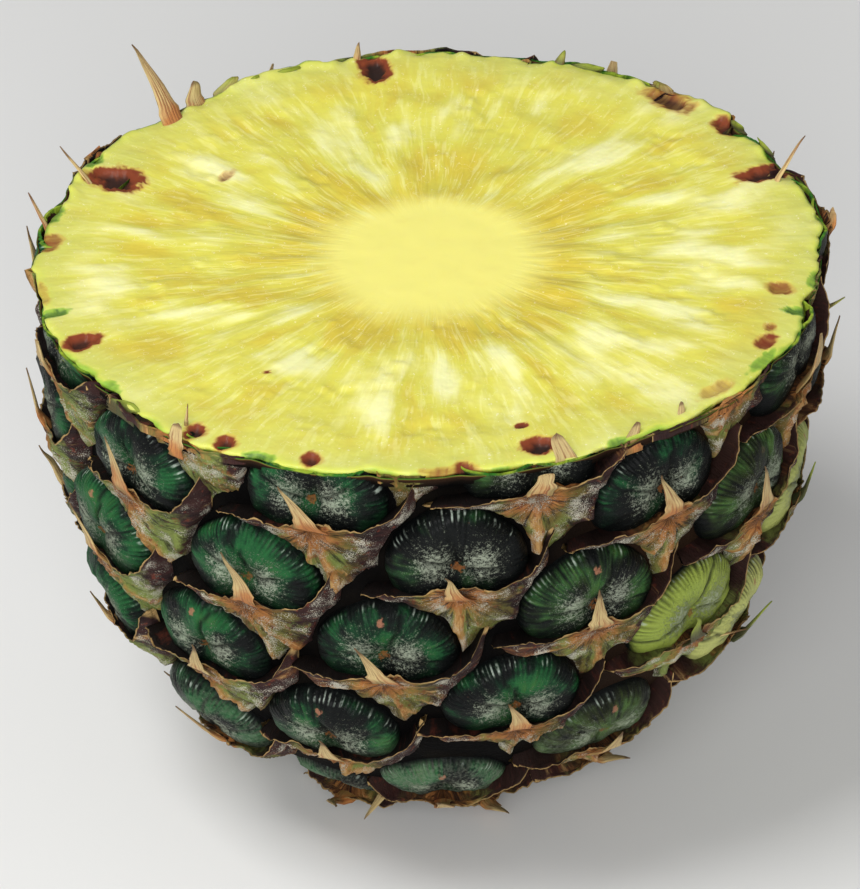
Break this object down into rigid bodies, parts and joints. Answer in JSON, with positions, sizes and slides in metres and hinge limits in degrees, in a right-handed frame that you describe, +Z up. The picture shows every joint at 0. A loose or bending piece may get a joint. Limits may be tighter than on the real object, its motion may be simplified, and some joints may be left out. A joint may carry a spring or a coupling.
{
  "type": "pineapple half",
  "caption": "Lower half of a ripe pineapple, cut across: flat juicy yellow face, green-brown skin of spiral eyes with dry pointed bracts, tapering to the stem end.",
  "frame": {"origin": "middle of the small flat underside at the stem end, on the surface the half stands on", "axes": "+Z up along the fruit's axis to the cut face; -Y is the front; the cut face rises a little towards +X"},
  "size_m": [0.1293, 0.1281, 0.1047],
  "materials": {
    "fruit": "green and tan horny skin below, wet pale yellow flesh on the cut face"
  },
  "bodies": {
    "root": {"pineapple_half": "fruit"}
  },
  "joints": []
}
